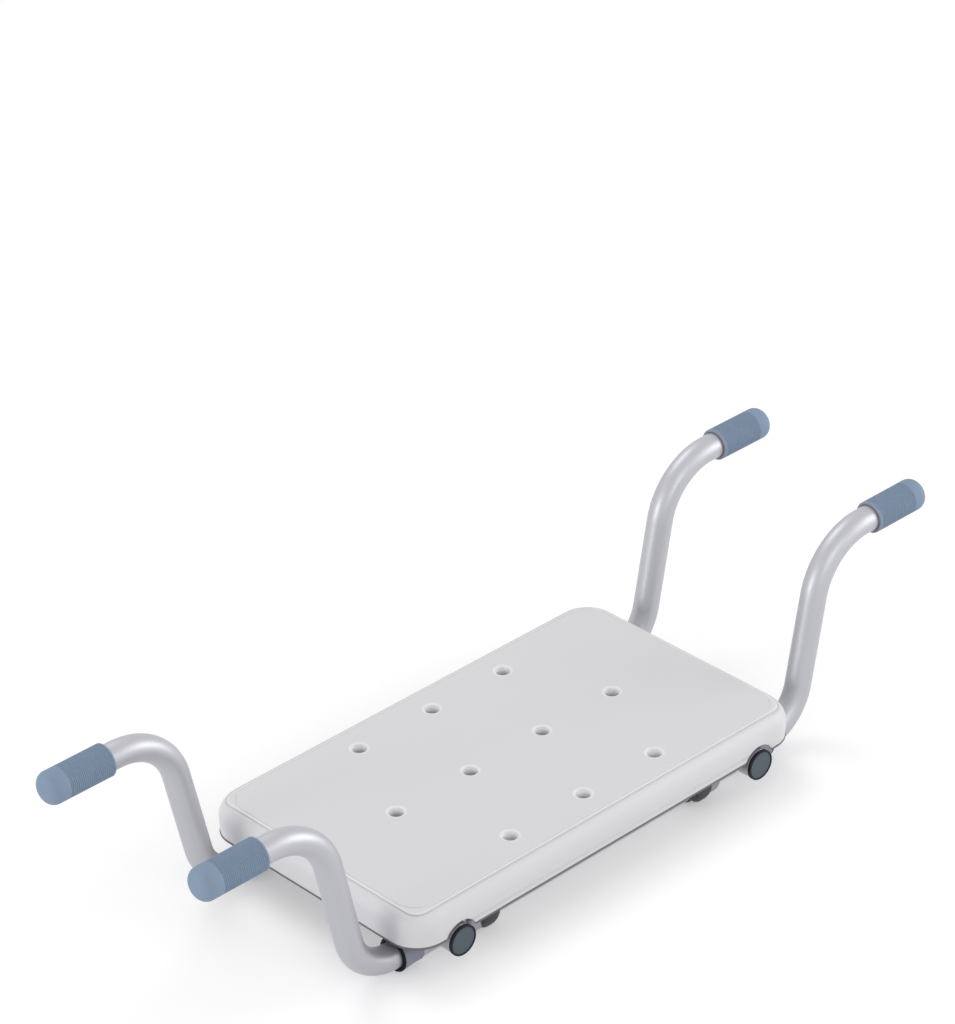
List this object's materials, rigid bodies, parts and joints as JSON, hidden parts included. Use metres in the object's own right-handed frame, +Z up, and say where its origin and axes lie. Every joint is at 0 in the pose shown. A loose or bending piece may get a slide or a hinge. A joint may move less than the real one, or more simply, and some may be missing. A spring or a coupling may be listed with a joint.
{
  "type": "suspended bath seat",
  "caption": "Moulded bath seat board on a tube frame; sliding bent arms with rubber grips hang it from both rims of a bath, locked by push-button catches.",
  "frame": {"origin": "bottom centre of the bounding box: the ground plane under the middle of the seat, which stands on its four rail collars", "axes": "+X along the board, towards its right-hand arms; +Y to the rear; +Z up"},
  "size_m": [0.784, 0.247, 0.1858],
  "materials": {
    "board_plastic": "pale grey moulded plastic, fine satin",
    "satin_aluminium": "satin anodised tube",
    "dark_cap_plastic": "dark slate moulded plastic",
    "collar_plastic": "blue-grey moulded plastic",
    "button_plastic": "near-black moulded plastic",
    "grip_rubber": "blue-grey rubber with fine ribs round it",
    "zinc_steel": "zinc plated steel"
  },
  "bodies": {
    "frame": {"seat_board": "board_plastic", "cross_tube_left": "satin_aluminium", "cross_tube_right": "satin_aluminium", "rail_front": "satin_aluminium", "rail_rear": "satin_aluminium", "end_cap_front_left": "dark_cap_plastic", "screw_front_left": "zinc_steel", "washer_front_left": "zinc_steel", "rail_collar_front_left": "collar_plastic", "catch_housing_front_left": "collar_plastic", "catch_spring_front_left": "zinc_steel", "end_cap_rear_left": "dark_cap_plastic", "screw_rear_left": "zinc_steel", "washer_rear_left": "zinc_steel", "rail_collar_rear_left": "collar_plastic", "catch_housing_rear_left": "collar_plastic", "catch_spring_rear_left": "zinc_steel", "end_cap_front_right": "dark_cap_plastic", "screw_front_right": "zinc_steel", "washer_front_right": "zinc_steel", "rail_collar_front_right": "collar_plastic", "catch_housing_front_right": "collar_plastic", "catch_spring_front_right": "zinc_steel", "end_cap_rear_right": "dark_cap_plastic", "screw_rear_right": "zinc_steel", "washer_rear_right": "zinc_steel", "rail_collar_rear_right": "collar_plastic", "catch_housing_rear_right": "collar_plastic", "catch_spring_rear_right": "zinc_steel"},
    "arm_unit_front_left": {"arm_front_left": "satin_aluminium", "arm_bush_front_left": "collar_plastic", "grip_front_left": "grip_rubber"},
    "button_front_left": {"push_button_front_left": "button_plastic"},
    "arm_unit_rear_left": {"arm_rear_left": "satin_aluminium", "arm_bush_rear_left": "collar_plastic", "grip_rear_left": "grip_rubber"},
    "button_rear_left": {"push_button_rear_left": "button_plastic"},
    "arm_unit_front_right": {"arm_front_right": "satin_aluminium", "arm_bush_front_right": "collar_plastic", "grip_front_right": "grip_rubber"},
    "button_front_right": {"push_button_front_right": "button_plastic"},
    "arm_unit_rear_right": {"arm_rear_right": "satin_aluminium", "arm_bush_rear_right": "collar_plastic", "grip_rear_right": "grip_rubber"},
    "button_rear_right": {"push_button_rear_right": "button_plastic"}
  },
  "joints": [
    {"name": "slide_arm_front_left", "type": "slide", "parent": "frame", "child": "arm_unit_front_left", "axis": [-1, 0, 0], "range_m": [0, 0.05], "deforming": ["catch_spring_front_left"]},
    {"name": "press_button_front_left", "type": "slide", "parent": "frame", "child": "button_front_left", "axis": [0, 1, 0], "range_m": [0, 0.0012], "stiffness_N_per_m": 2500, "deforming": ["catch_spring_front_left"]},
    {"name": "slide_arm_rear_left", "type": "slide", "parent": "frame", "child": "arm_unit_rear_left", "axis": [-1, 0, 0], "range_m": [0, 0.05], "deforming": ["catch_spring_rear_left"]},
    {"name": "press_button_rear_left", "type": "slide", "parent": "frame", "child": "button_rear_left", "axis": [0, -1, 0], "range_m": [0, 0.0012], "stiffness_N_per_m": 2500, "deforming": ["catch_spring_rear_left"]},
    {"name": "slide_arm_front_right", "type": "slide", "parent": "frame", "child": "arm_unit_front_right", "axis": [1, 0, 0], "range_m": [0, 0.05], "deforming": ["catch_spring_front_right"]},
    {"name": "press_button_front_right", "type": "slide", "parent": "frame", "child": "button_front_right", "axis": [0, 1, 0], "range_m": [0, 0.0012], "stiffness_N_per_m": 2500, "deforming": ["catch_spring_front_right"]},
    {"name": "slide_arm_rear_right", "type": "slide", "parent": "frame", "child": "arm_unit_rear_right", "axis": [1, 0, 0], "range_m": [0, 0.05], "deforming": ["catch_spring_rear_right"]},
    {"name": "press_button_rear_right", "type": "slide", "parent": "frame", "child": "button_rear_right", "axis": [0, -1, 0], "range_m": [0, 0.0012], "stiffness_N_per_m": 2500, "deforming": ["catch_spring_rear_right"]}
  ]
}
